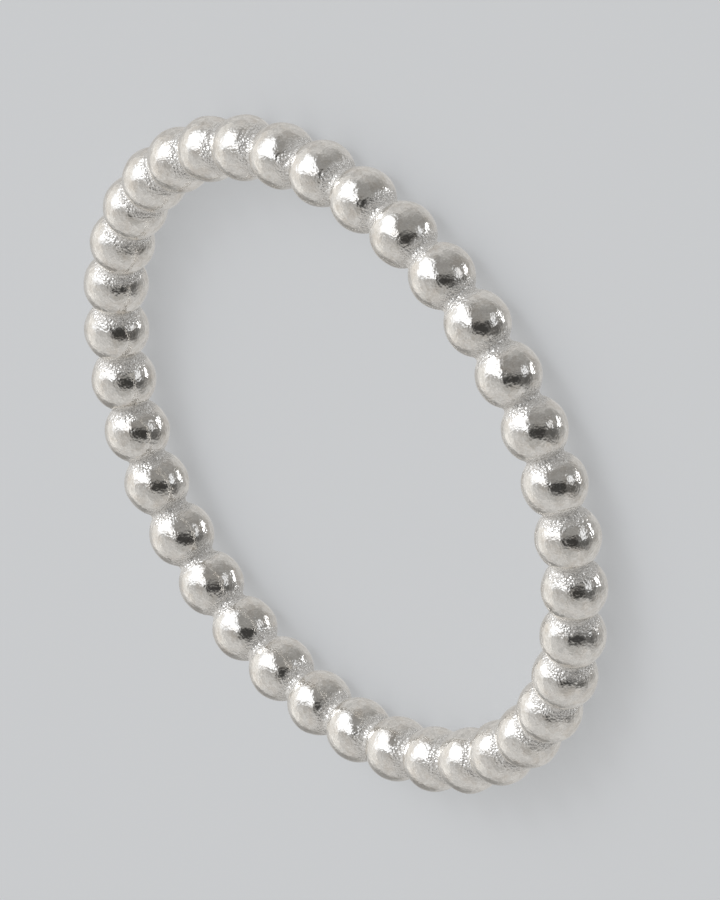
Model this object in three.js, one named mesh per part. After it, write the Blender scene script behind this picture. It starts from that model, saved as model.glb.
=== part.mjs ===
// A plain finger ring of beaded wire: one soldered loop of metal, on which round beads run into each other
// through short, waisted necks. Millimetres, +Z up. The ring lies on its side: its finger hole runs along
// the Z axis, and the undersides of its beads touch the plane Z = 0.
import * as THREE from "three";

// Driving dimensions
const FINGER_HOLE_DIAMETER = 17.9; // inside the beads
const BEAD_DIAMETER = 2.0;
const BEAD_OVERLAP = 0.26; // how far each bead is sunk into the next one along the wire
const NECK_FILLET_RADIUS = 0.14; // the hollow round where two beads run together

// How finely the round forms are cut into flats
const SIDES_ROUND_WIRE = 16; // a multiple of four, so that flats face up, down, in and out
const STEPS_ALONG_BEAD = 5; // odd, so that a flat, and not an edge, lies at the bead's widest place
const STEPS_IN_HALF_NECK = 2;

// What follows from the sizes
const beadRadius = BEAD_DIAMETER / 2;
const wireCircleRadius = FINGER_HOLE_DIAMETER / 2 + beadRadius; // through the middles of the beads
const beadCount = Math.round((2 * Math.PI * wireCircleRadius) / (BEAD_DIAMETER - BEAD_OVERLAP));
const beadAngle = (2 * Math.PI) / beadCount;
const neckDistance = wireCircleRadius * Math.sin(beadAngle / 2); // from a bead's middle to its neck
const filletDistance = beadRadius + NECK_FILLET_RADIUS; // from a bead's middle to the fillet's centre
const filletHeight = Math.sqrt(filletDistance ** 2 - neckDistance ** 2); // of that centre above the wire
const touchAngle = Math.acos(neckDistance / filletDistance); // from the wire, where bead and fillet meet

// The slices through the first half of a neck's hollow, from its narrowest place up to the bead.
function slicesUpTheNeck() {
  const slices = [];
  for (let i = 0; i < STEPS_IN_HALF_NECK; i++) {
    const turn = (i / STEPS_IN_HALF_NECK) * (Math.PI / 2 - touchAngle);
    slices.push({
      along: -neckDistance + NECK_FILLET_RADIUS * Math.sin(turn),
      radius: filletHeight - NECK_FILLET_RADIUS * Math.cos(turn),
    });
  }
  return slices;
}

// The slices over a bead, between its two hollows. They stand outside the true round by as much as makes
// the flats between them touch it, so that the bead measures its full diameter across its flats.
function slicesOverTheBead() {
  const step = (Math.PI - 2 * touchAngle) / STEPS_ALONG_BEAD;
  const cornerRadius = beadRadius / Math.cos(step / 2);
  const slices = [];
  for (let i = 0; i <= STEPS_ALONG_BEAD; i++) {
    const turn = touchAngle + i * step;
    slices.push({ along: -cornerRadius * Math.cos(turn), radius: cornerRadius * Math.sin(turn) });
  }
  return slices;
}

// All slices of one bead: from its neck, over the bead, and down to just before the next bead's neck.
function slicesOfOneBead() {
  const up = slicesUpTheNeck();
  const down = up.slice(1).reverse();
  return [...up, ...slicesOverTheBead(), ...down.map(({ along, radius }) => ({ along: -along, radius }))];
}

// The corners of one slice on the ring. It stands in a plane through the finger hole's axis, turned from
// its bead's own place by the angle that its distance along the wire takes up on the circle.
function cornersOfSlice({ along, radius }, beadPlace) {
  const bend = Math.asin(along / wireCircleRadius);
  const middle = wireCircleRadius * Math.cos(bend);
  const place = beadPlace + bend;
  const cornerRadius = radius / Math.cos(Math.PI / SIDES_ROUND_WIRE);
  const corners = [];
  for (let side = 0; side < SIDES_ROUND_WIRE; side++) {
    const turn = ((side + 0.5) / SIDES_ROUND_WIRE) * 2 * Math.PI;
    const fromHoleAxis = middle + cornerRadius * Math.cos(turn);
    const height = beadRadius + cornerRadius * Math.sin(turn);
    corners.push(new THREE.Vector3(fromHoleAxis * Math.cos(place), fromHoleAxis * Math.sin(place), height));
  }
  return corners;
}

// Two triangles for each flat between one slice and the next. The last slice joins the first, so the
// skin closes round the ring as it closes round the wire.
function flatsBetweenSlices(sliceCount) {
  const index = [];
  for (let slice = 0; slice < sliceCount; slice++) {
    const here = slice * SIDES_ROUND_WIRE;
    const next = ((slice + 1) % sliceCount) * SIDES_ROUND_WIRE;
    for (let side = 0; side < SIDES_ROUND_WIRE; side++) {
      const nextSide = (side + 1) % SIDES_ROUND_WIRE;
      index.push(here + side, next + side, next + nextSide);
      index.push(here + side, next + nextSide, here + nextSide);
    }
  }
  return index;
}

// The whole band: every bead in its place round the ring.
function beadedBand() {
  const slices = slicesOfOneBead();
  const corners = [];
  for (let bead = 0; bead < beadCount; bead++) {
    for (const slice of slices) {
      corners.push(...cornersOfSlice(slice, bead * beadAngle));
    }
  }
  const band = new THREE.BufferGeometry().setFromPoints(corners);
  band.setIndex(flatsBetweenSlices(beadCount * slices.length));
  band.computeVertexNormals();
  return band;
}

const silver = new THREE.MeshStandardMaterial({ color: 0xe8e8ea, roughness: 0.18, metalness: 1 });

const band = new THREE.Mesh(beadedBand(), silver);
band.name = "beaded_band";

const ring = new THREE.Group();
ring.add(band);

export default ring;
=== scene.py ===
# %% [markdown]
# A beaded silver ring, dressed in Blender.
#
# The real ring is one loop of beaded silver wire: 36 round beads that run into each other through short,
# waisted necks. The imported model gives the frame, which fixes the ring's size and place, in metres. This
# lesson makes the fine skin of the ring, its polished and frosted silver, and the small studio around it.

import math

import bpy
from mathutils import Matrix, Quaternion, Vector, noise


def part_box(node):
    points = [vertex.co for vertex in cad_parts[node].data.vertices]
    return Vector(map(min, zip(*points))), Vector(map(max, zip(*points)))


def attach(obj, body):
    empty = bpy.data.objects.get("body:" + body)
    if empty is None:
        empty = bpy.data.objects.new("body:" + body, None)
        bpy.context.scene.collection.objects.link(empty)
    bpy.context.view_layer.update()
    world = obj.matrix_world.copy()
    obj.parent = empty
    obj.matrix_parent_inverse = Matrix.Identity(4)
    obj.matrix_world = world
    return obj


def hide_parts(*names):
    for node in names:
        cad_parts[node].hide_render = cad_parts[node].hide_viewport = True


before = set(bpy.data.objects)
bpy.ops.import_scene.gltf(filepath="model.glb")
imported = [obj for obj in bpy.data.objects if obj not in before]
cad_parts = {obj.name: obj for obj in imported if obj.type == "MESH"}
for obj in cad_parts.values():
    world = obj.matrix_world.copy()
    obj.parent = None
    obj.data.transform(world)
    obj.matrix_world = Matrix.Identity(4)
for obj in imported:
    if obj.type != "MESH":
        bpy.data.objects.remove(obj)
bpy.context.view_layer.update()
low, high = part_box("beaded_band")
print("the ring's box in millimetres:", [round(1000 * (b - a), 2) for a, b in zip(low, high)])

# %% [markdown]
# The sizes of the ring.
#
# The ring lies on its side, so its height is one bead, and half of its width reaches from the finger
# hole's axis to the outside of a bead. Both come from the frame, so the skin follows the model when the
# model is made larger or smaller. Only the number of beads and the round in the necks are given again
# here. The round is a share of the bead, because it was measured against the bead.

# %% Sizes from the frame
BEAD_COUNT = 36
NECK_ROUND_PER_BEAD = 0.14

bead_radius = (high.z - low.z) / 2
wire_circle_radius = (high.x - low.x) / 2 - bead_radius
bead_angle = 2 * math.pi / BEAD_COUNT
ring_middle = Vector((0, 0, low.z + bead_radius))
print(f"bead radius {1000 * bead_radius:.3f} mm, on a circle of radius {1000 * wire_circle_radius:.3f} mm")

# %% [markdown]
# The outline of one bead and its neck.
#
# Beaded wire is pressed between grooved dies, which leave beads with a smooth hollow between them. Loose
# balls pushed into each other would meet in a sharp crease, and a boolean union would leave that crease
# ragged. So the wire's radius is worked out instead: a circle over the bead, and from the place where the
# two touch, a small hollow circle down to the neck.

# %% The radius of the wire along a bead
neck_distance = wire_circle_radius * math.sin(bead_angle / 2)
neck_round = NECK_ROUND_PER_BEAD * bead_radius
round_distance = bead_radius + neck_round
round_height = math.sqrt(round_distance**2 - neck_distance**2)
touch_angle = math.acos(neck_distance / round_distance)
touch_distance = bead_radius * math.cos(touch_angle)


def stations_of_one_bead(steps_over_bead=20, steps_in_half_neck=4):
    """Pairs of distance along the wire and radius there, from one neck to just before the next."""
    half_neck = []
    for i in range(steps_in_half_neck):
        turn = i / steps_in_half_neck * (math.pi / 2 - touch_angle)
        along = -neck_distance + neck_round * math.sin(turn)
        half_neck.append((along, round_height - neck_round * math.cos(turn)))
    over_bead = []
    for i in range(steps_over_bead + 1):
        turn = touch_angle + i / steps_over_bead * (math.pi - 2 * touch_angle)
        over_bead.append((-bead_radius * math.cos(turn), bead_radius * math.sin(turn)))
    return half_neck + over_bead + [(-along, radius) for along, radius in reversed(half_neck[1:])]


stations = stations_of_one_bead()
print(f"{len(stations)} stations; the neck is {2000 * stations[0][1]:.2f} mm thick")

# %% [markdown]
# The way of the wire round the finger.
#
# A curve with a bevel, or an array bent by a modifier, would squash the beads on the inside of the ring
# and stretch them on the outside. On the real ring they stay round, because the wire gives way at its
# necks. Each station therefore stands in a plane through the finger hole's axis, and its middle is moved
# in by as much as keeps the bead a true ball. At the necks the way is rounded off, so that one bead turns
# into the next without a kink.


# %% The middle of the wire at a station
def middle_of_wire(along):
    """Distance of the wire's middle from the finger hole's axis, at a distance along the wire."""
    past_touch = abs(along) - touch_distance
    if past_touch <= 0:
        return math.sqrt(wire_circle_radius**2 - along**2)
    at_touch = math.sqrt(wire_circle_radius**2 - touch_distance**2)
    slope = touch_distance / at_touch
    return at_touch - slope * (past_touch - past_touch**2 / (2 * (neck_distance - touch_distance)))


inward_at_neck = wire_circle_radius - middle_of_wire(neck_distance)
print(f"at a neck, the wire's middle comes in by {1000 * inward_at_neck:.3f} mm")

# %% [markdown]
# The skin of the ring.
#
# One closed mesh is laid over the whole ring, station by station, with smooth shading. Polished silver
# shows every step of a coarse mesh in its reflections, so the mesh is fine. The dies and the polishing
# wheel leave the beads very slightly uneven, which is what makes the same window look different in each
# bead. That goes into the shape, as a soft unevenness of two or three hundredths of a millimetre, always
# inward, so that the ring keeps its size. Each vertex also stores how near it is to a neck, for the finish
# to use.

# %% Lay the skin over the stations
SIDES = 56
UNEVENNESS = 0.000020
UNEVEN_LENGTH = 0.0006


def build_skin():
    """The ring's vertices and faces, and for each vertex how near it is to a neck, from 0 to 1."""
    vertices, nearness = [], []
    for bead in range(BEAD_COUNT):
        for along, radius in stations:
            place = bead * bead_angle + math.asin(along / wire_circle_radius)
            outward = Vector((math.cos(place), math.sin(place), 0))
            middle = ring_middle + outward * middle_of_wire(along)
            for side in range(SIDES):
                turn = 2 * math.pi * side / SIDES
                across = outward * math.cos(turn) + Vector((0, 0, math.sin(turn)))
                swell = noise.noise((middle + across * radius) / UNEVEN_LENGTH) - 1
                vertices.append(middle + across * (radius + UNEVENNESS * swell))
                nearness.append(abs(along) / neck_distance)
    rows = BEAD_COUNT * len(stations)
    faces = []
    for row in range(rows):
        here, there = row * SIDES, (row + 1) % rows * SIDES
        for side in range(SIDES):
            beside = (side + 1) % SIDES
            faces.append((here + side, there + side, there + beside, here + beside))
    return vertices, faces, nearness


vertices, faces, nearness = build_skin()
mesh = bpy.data.meshes.new("silver_ring")
mesh.from_pydata(vertices, [], faces)
mesh.attributes.new("neck_nearness", "FLOAT", "POINT").data.foreach_set("value", nearness)
mesh.shade_smooth()
ring = bpy.data.objects.new("silver_ring", mesh)
bpy.context.scene.collection.objects.link(ring)
print(f"the skin has {2 * len(faces)} triangles")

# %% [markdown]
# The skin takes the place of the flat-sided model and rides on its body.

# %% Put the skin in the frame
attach(ring, "root")
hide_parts("beaded_band")
print(ring.name, "rides on root and stands for beaded_band")

# %% [markdown]
# Helpers for shader nodes.
#
# A material is a net of nodes. The first helper makes one node, sets its inputs by name or number, and
# links those that are given as another node's output, so that each line below reads as one step. The
# others make the three nodes that this lesson uses most: one that mixes two colours, one that calculates,
# and one that turns a range of values into another range.


# %% Make a node and link it
def add_node(tree, kind, inputs=None, **settings):
    """Makes a node. An input is a plain value, or the output socket of another node."""
    node = tree.nodes.new(kind)
    for name, value in settings.items():
        setattr(node, name, value)
    for name, value in (inputs or {}).items():
        if isinstance(value, bpy.types.NodeSocket):
            tree.links.new(value, node.inputs[name])
        else:
            node.inputs[name].default_value = value
    return node


def mix_colours(tree, share, first, second):
    """The colour between two colours, by a share from 0 to 1."""
    mix = add_node(tree, "ShaderNodeMix", {0: share, 6: first, 7: second}, data_type="RGBA")
    return mix.outputs[2]


def calculate(tree, operation, first, second=0.0, third=0.0):
    """One step of arithmetic on single values."""
    inputs = {0: first, 1: second, 2: third}
    return add_node(tree, "ShaderNodeMath", inputs, operation=operation).outputs[0]


def map_range(tree, value, start, end, at_start=0.0, at_end=1.0, shape="LINEAR"):
    """Turns a value from start to end into one from at_start to at_end, and holds it there outside."""
    inputs = {"Value": value, "From Min": start, "From Max": end, "To Min": at_start, "To Max": at_end}
    return add_node(tree, "ShaderNodeMapRange", inputs, interpolation_type=shape).outputs[0]


# %% [markdown]
# A ruler for the finish.
#
# Stains, grains and patches have real sizes, so every noise of the silver is laid out in millimetres. The
# object's own coordinates are used, because the skin has no UV map and needs none: the finish then goes
# through the metal, and no seam can show.

# %% Start the silver
silver = bpy.data.materials.new("silver")
silver.use_nodes = True
tree = silver.node_tree
tree.nodes.clear()
place = add_node(tree, "ShaderNodeTexCoord").outputs["Object"]
in_mm = add_node(tree, "ShaderNodeVectorMath", {0: place, "Scale": 1000.0}, operation="SCALE").outputs[0]


def noise_per_mm(patches, detail, roughness=0.5):
    """A noise over the silver, with so many patches to a millimetre."""
    inputs = {"Vector": in_mm, "Scale": patches, "Detail": detail, "Roughness": roughness}
    return add_node(tree, "ShaderNodeTexNoise", inputs).outputs[0]


print(f"across a bead, the finish is laid out over {2000 * bead_radius:.2f} mm")

# %% [markdown]
# Where the silver is polished, and where it is frosted.
#
# Buffed silver is bright on the crowns of the beads, where the wheel reaches. Down in the necks it keeps
# the matt skin that pickling leaves. One mask parts the two: the stored nearness to a neck, with a noise
# added, so that the edge of the polish is ragged as the wheel leaves it.

# %% The mask of the frost
PATCHES_PER_MM = 3.0
RAGGEDNESS = 0.3
FROST_STARTS = 0.77
FROST_IS_FULL = 1.0

neck = add_node(tree, "ShaderNodeAttribute", attribute_name="neck_nearness").outputs["Fac"]
patches = noise_per_mm(PATCHES_PER_MM, detail=4.0)
worn_edge = calculate(tree, "MULTIPLY_ADD", patches, RAGGEDNESS, neck)
frost = map_range(tree, worn_edge, FROST_STARTS, FROST_IS_FULL, shape="SMOOTHSTEP")
half_frosted = (FROST_STARTS + FROST_IS_FULL - RAGGEDNESS) / 2
print(f"the silver is half frosted at {half_frosted:.2f} of the way from a bead's crown to its neck")

# %% [markdown]
# The grain of the silver.
#
# Cast and annealed silver has a pebbled skin. Polishing wears it down to a faint orange peel, and in the
# necks it is left whole. The grain is bump and not mesh, because a grain is less than a tenth of a
# millimetre wide and its relief a few hundredths. The relief is the sum of two layers: a low, wide peel
# over everything, and round pebbles that the frost mask deepens. A Voronoi texture gives the distance to
# the nearest grain's middle, so that one less that distance is a field of small domes.

# %% The relief of the grain
PEEL_PER_MM = 4.0
PEEL_SHARE = 0.5
GRAINS_PER_MM = 12.0
GRAIN_ON_THE_POLISH = 0.1
GRAIN_IN_THE_FROST = 0.75
RELIEF = 0.000045

peel = noise_per_mm(PEEL_PER_MM, detail=3.0)
voronoi = add_node(tree, "ShaderNodeTexVoronoi", {"Vector": in_mm, "Scale": GRAINS_PER_MM}, feature="F1")
grain = calculate(tree, "SUBTRACT", 1.0, voronoi.outputs["Distance"])
grain_share = map_range(tree, frost, 0, 1, GRAIN_ON_THE_POLISH, GRAIN_IN_THE_FROST)
relief = calculate(tree, "MULTIPLY_ADD", peel, PEEL_SHARE, calculate(tree, "MULTIPLY", grain, grain_share))
bumped = add_node(tree, "ShaderNodeBump", {"Distance": RELIEF, "Height": relief}).outputs[0]
print(f"a grain is {1 / GRAINS_PER_MM:.2f} mm wide, and its relief in the frost at most "
      f"{1000 * RELIEF * GRAIN_IN_THE_FROST:.3f} mm")

# %% [markdown]
# The colour of the silver.
#
# Fine silver is a pale grey with a little warmth. Air and skin stain it in small yellowish patches long
# before it looks tarnished, so the polish is mixed from two colours by a noise. The frost is nearly
# white. Its hollows, where light is caught between the grains, get a darker colour: painted shade.

# %% Colours, stains, specks and painted shade
POLISHED_SILVER = (0.965, 0.95, 0.92, 1)
TARNISHED_SILVER = (0.78, 0.72, 0.65, 1)
FROSTED_SILVER = (1.0, 0.985, 0.955, 1)
# the colour of the painted shade in the frost's hollows
FROST_HOLLOW_PAINTED_SHADE = (0.86, 0.835, 0.80, 1)
STAINS_PER_MM = 2.4
STAIN_STARTS = 0.46
STAIN_IS_FULL = 0.66
GRAIN_FOOT = 0.35
GRAIN_TOP = 0.85
SPECKS_ON_THE_POLISH = 0.4

stain = noise_per_mm(STAINS_PER_MM, detail=6.0, roughness=0.75)
stained = map_range(tree, stain, STAIN_STARTS, STAIN_IS_FULL)
polished = mix_colours(tree, stained, POLISHED_SILVER, TARNISHED_SILVER)
# Painted shade: the low parts of each grain take the darker hollow colour, fully in the frost and in part
# on the polish.
grain_height_shade_mask = map_range(tree, grain, GRAIN_FOOT, GRAIN_TOP)
frosted = mix_colours(tree, grain_height_shade_mask, FROST_HOLLOW_PAINTED_SHADE, FROSTED_SILVER)
specks = map_range(tree, frost, 0, 1, SPECKS_ON_THE_POLISH, 1.0)
colour = mix_colours(tree, specks, polished, frosted)
print(f"a stain is about {1 / STAINS_PER_MM:.1f} mm wide")

# %% [markdown]
# The gloss of the silver.
#
# A mirror polish has a roughness near zero. The frost's grains are modelled above as bump, so they only
# need to be a little rougher than the polish. The white skin between them is finer than any bump here. It
# scatters light as a matt surface does, which a lower Metallic gives.

# %% Gloss and shader
POLISHED_ROUGHNESS = 0.07
FROSTED_ROUGHNESS = 0.22
FROSTED_METALLIC = 0.45

roughness = map_range(tree, frost, 0, 1, POLISHED_ROUGHNESS, FROSTED_ROUGHNESS)
metallic = map_range(tree, frost, 0, 1, 1.0, FROSTED_METALLIC)
shader = add_node(
    tree, "ShaderNodeBsdfPrincipled",
    {"Base Color": colour, "Metallic": metallic, "Roughness": roughness, "Normal": bumped},
).outputs[0]
add_node(tree, "ShaderNodeOutputMaterial", {"Surface": shader})
ring.data.materials.append(silver)
print("the silver has", len(tree.nodes), "nodes")

# %% [markdown]
# The floor.
#
# The ring rests on a plain, pale, matt floor. It is much wider than the view, so that no edge of it
# shows from any side. More than half of its brightness is its own glow, as on a light table, which keeps
# the shadow under the ring pale and soft. Mirror rays pass it by: polished beads this small would
# otherwise mirror nothing but the floor a millimetre away, and the soft panels below could not draw their
# form.

# %% A pale floor
FLOOR_WIDTH = 4.0
FLOOR_GREY = (0.317, 0.323, 0.330, 1)
FLOOR_ROUGHNESS = 0.9
FLOOR_GLOW = 1.09

bpy.ops.mesh.primitive_plane_add(size=FLOOR_WIDTH, location=(0, 0, low.z))
floor = bpy.context.object
floor.name = "floor"
floor.visible_glossy = False
matt = bpy.data.materials.new("matt_floor")
matt.use_nodes = True
matt_shader = matt.node_tree.nodes["Principled BSDF"]
matt_shader.inputs["Base Color"].default_value = FLOOR_GREY
matt_shader.inputs["Roughness"].default_value = FLOOR_ROUGHNESS
matt_shader.inputs["Emission Color"].default_value = FLOOR_GREY
matt_shader.inputs["Emission Strength"].default_value = FLOOR_GLOW
floor.data.materials.append(matt)
print(f"the floor is {FLOOR_WIDTH:.0f} m wide and lies {1000 * low.z:.2f} mm above the origin")

# %% [markdown]
# The camera.
#
# A long lens from a third of a metre away looks down on the ring at 33 degrees, and is rolled on its
# side, so that the near beads climb from the lower right to the upper left.

# %% Place the camera
CAMERA_AZIMUTH = 1.97
CAMERA_ELEVATION = 32.65
CAMERA_ROLL = -119.57
CAMERA_DISTANCE = 0.3228
LENS = 437.9
AIM_RIGHT = 0.00056
AIM_UP = 0.00019

azimuth, elevation = math.radians(CAMERA_AZIMUTH), math.radians(CAMERA_ELEVATION)
back = Vector((
    math.sin(azimuth) * math.cos(elevation),
    -math.cos(azimuth) * math.cos(elevation),
    math.sin(elevation),
))
turned = back.to_track_quat("Z", "Y") @ Quaternion((0, 0, 1), math.radians(CAMERA_ROLL))
right, up = turned @ Vector((1, 0, 0)), turned @ Vector((0, 1, 0))

camera = bpy.data.objects.new("camera", bpy.data.cameras.new("camera"))
camera.data.lens = LENS
camera.rotation_mode = "QUATERNION"
camera.rotation_quaternion = turned
camera.location = ring_middle + back * CAMERA_DISTANCE + right * AIM_RIGHT + up * AIM_UP
bpy.context.scene.collection.objects.link(camera)
bpy.context.scene.camera = camera
print("the camera stands at", [round(c, 3) for c in camera.location])

# %% [markdown]
# The studio.
#
# Polished metal has hardly a look of its own: it shows what stands round it. A jeweller's photograph is
# made by placing white and grey panels until each bead has a bright window, a dark core and a pale rim.
# Area lights or cards would do it, but they are noisy on small mirrors. Here the panels are painted on
# the sky, each as a rectangle with round corners and a soft edge. Their angles are in degrees, round and
# above the first direction of the camera, and they stay where they are when the camera moves.
#
# The table lists the panels from back to front, with a brightness where 1 is paper white, and a tint:
# card is a little warm, and daylight a little cool. The window is the key light. It makes the white patch
# at the upper left of each bead, and the ring's soft shadow falls away from it. The small lamp in it gives
# the frosted grains their glints. The dark panel just under the lens gives the dark core, without which
# silver looks like plaster. The one behind does the same, more softly, for anyone who looks at the ring
# from the back.

# %% The table of the panels
CARD = (1.02, 1.0, 0.965)
DAYLIGHT = (0.98, 1.0, 1.03)
PANELS = [
    # name, tint, brightness, around, above, half width, half height, edge
    ("grey wall", CARD, 0.29, 28, 25, 58, 20, 55),
    ("dark panel behind", CARD, 0.30, -160, -38, 11, 8, 28),
    ("shade under the lens", CARD, 0.42, 12, -42, 22, 10, 28),
    ("dim band", CARD, 0.12, 44, -15, 30, 5, 27),
    ("dark panel", CARD, 0.045, 9, -16, 19, 7, 22),
    ("pale card", CARD, 0.80, -110, 6, 8, 32, 26),
    ("window", DAYLIGHT, 1.25, -64, 25, 19, 15, 20),
    ("lamp in the window", DAYLIGHT, 5.0, -63, 27, 8, 6, 9),
    ("foot of the window", DAYLIGHT, 1.3, -33, 5, 3, 6, 12),
    ("narrow light", DAYLIGHT, 2.8, 93, 18, 1, 9, 7),
    ("faint light", DAYLIGHT, 0.95, 56, 13, 2, 8, 12),
]
print("the studio has", len(PANELS), "panels")

# %% [markdown]
# How a panel is painted.
#
# A sky shader is given the direction of each ray. Its parts along the camera's three axes turn into the
# two angles. A panel is then a distance: how far the two angles are outside the rectangle, so that the
# lines of equal brightness are rounded at its corners as they are on a real soft box.

# %% The two angles of a ray
world = bpy.data.worlds.new("studio")
bpy.context.scene.world = world
world.use_nodes = True
sky_tree = world.node_tree
sky_tree.nodes.clear()
looking = add_node(sky_tree, "ShaderNodeTexCoord").outputs["Generated"]


def vector_step(operation, first, second=(0, 0, 0), third=(0, 0, 0)):
    """One step of arithmetic on vectors. A length or a dot product comes out as a single value."""
    inputs = {0: first, 1: second, 2: third}
    outputs = add_node(sky_tree, "ShaderNodeVectorMath", inputs, operation=operation).outputs
    return outputs["Value" if operation in ("LENGTH", "DOT_PRODUCT") else "Vector"]


to_the_right, upward, backward = (vector_step("DOT_PRODUCT", looking, axis) for axis in (right, up, back))
around = calculate(sky_tree, "DEGREES", calculate(sky_tree, "ARCTAN2", to_the_right, backward))
above = calculate(sky_tree, "DEGREES", calculate(sky_tree, "ARCSINE", upward))
angles = add_node(sky_tree, "ShaderNodeCombineXYZ", {0: around, 1: above}).outputs[0]
print("the first direction of the camera is", [round(c, 3) for c in back])

# %% Paint the panels on the sky
SKY = (0.565, 0.557, 0.545, 1)
HALF_TURN = (180, 180, 180)
HALF_TURN_BACK = (-180, -180, -180)


def panel_mask(centre, half, edge):
    """1 on the panel, and falling softly to 0 over its edge."""
    off_centre = vector_step("WRAP", vector_step("SUBTRACT", angles, centre), HALF_TURN, HALF_TURN_BACK)
    outside = vector_step("SUBTRACT", vector_step("ABSOLUTE", off_centre), half)
    distance = vector_step("LENGTH", vector_step("MAXIMUM", outside))
    return map_range(sky_tree, distance, 0.0, edge, 1.0, 0.0, shape="SMOOTHSTEP")


sky = SKY
for name, tint, brightness, centre_around, centre_above, half_width, half_height, edge in PANELS:
    mask = panel_mask((centre_around, centre_above, 0), (half_width, half_height, 0), edge)
    sky = mix_colours(sky_tree, mask, sky, (*(brightness * part for part in tint), 1))
print("the sky is painted with", len(sky_tree.nodes), "nodes")

# %% [markdown]
# Uneven light.
#
# No wall or panel of a real studio is evenly bright. A wide mottle over the whole sky gives the large
# reflections the soft clouds that polished silver shows. The camera itself sees a plain pale sky
# wherever it looks past the floor, in the floor's own colour, so that no horizon shows.

# %% Mottle the sky and show it
PLAIN_SKY = (0.614, 0.625, 0.635, 1)
CLOUDS_PER_SKY = 5.0
CLOUD_GAP = 0.3
CLOUD_CORE = 0.7
DIMMEST = 0.8
BRIGHTEST = 1.2

clouds = {"Vector": looking, "Scale": CLOUDS_PER_SKY, "Detail": 4.0}
cloud = add_node(sky_tree, "ShaderNodeTexNoise", clouds).outputs[0]
mottle = map_range(sky_tree, cloud, CLOUD_GAP, CLOUD_CORE, DIMMEST, BRIGHTEST)
scaled = {0: sky, "Scale": mottle}
mottled = add_node(sky_tree, "ShaderNodeVectorMath", scaled, operation="SCALE").outputs[0]
seen = add_node(sky_tree, "ShaderNodeLightPath").outputs["Is Camera Ray"]
shown = mix_colours(sky_tree, seen, mottled, PLAIN_SKY)
light = add_node(sky_tree, "ShaderNodeBackground", {"Color": shown}).outputs[0]
add_node(sky_tree, "ShaderNodeOutputWorld", {"Surface": light})
bpy.context.scene.view_settings.view_transform = "Standard"
print(f"the light varies from {DIMMEST} to {BRIGHTEST} of its mean")
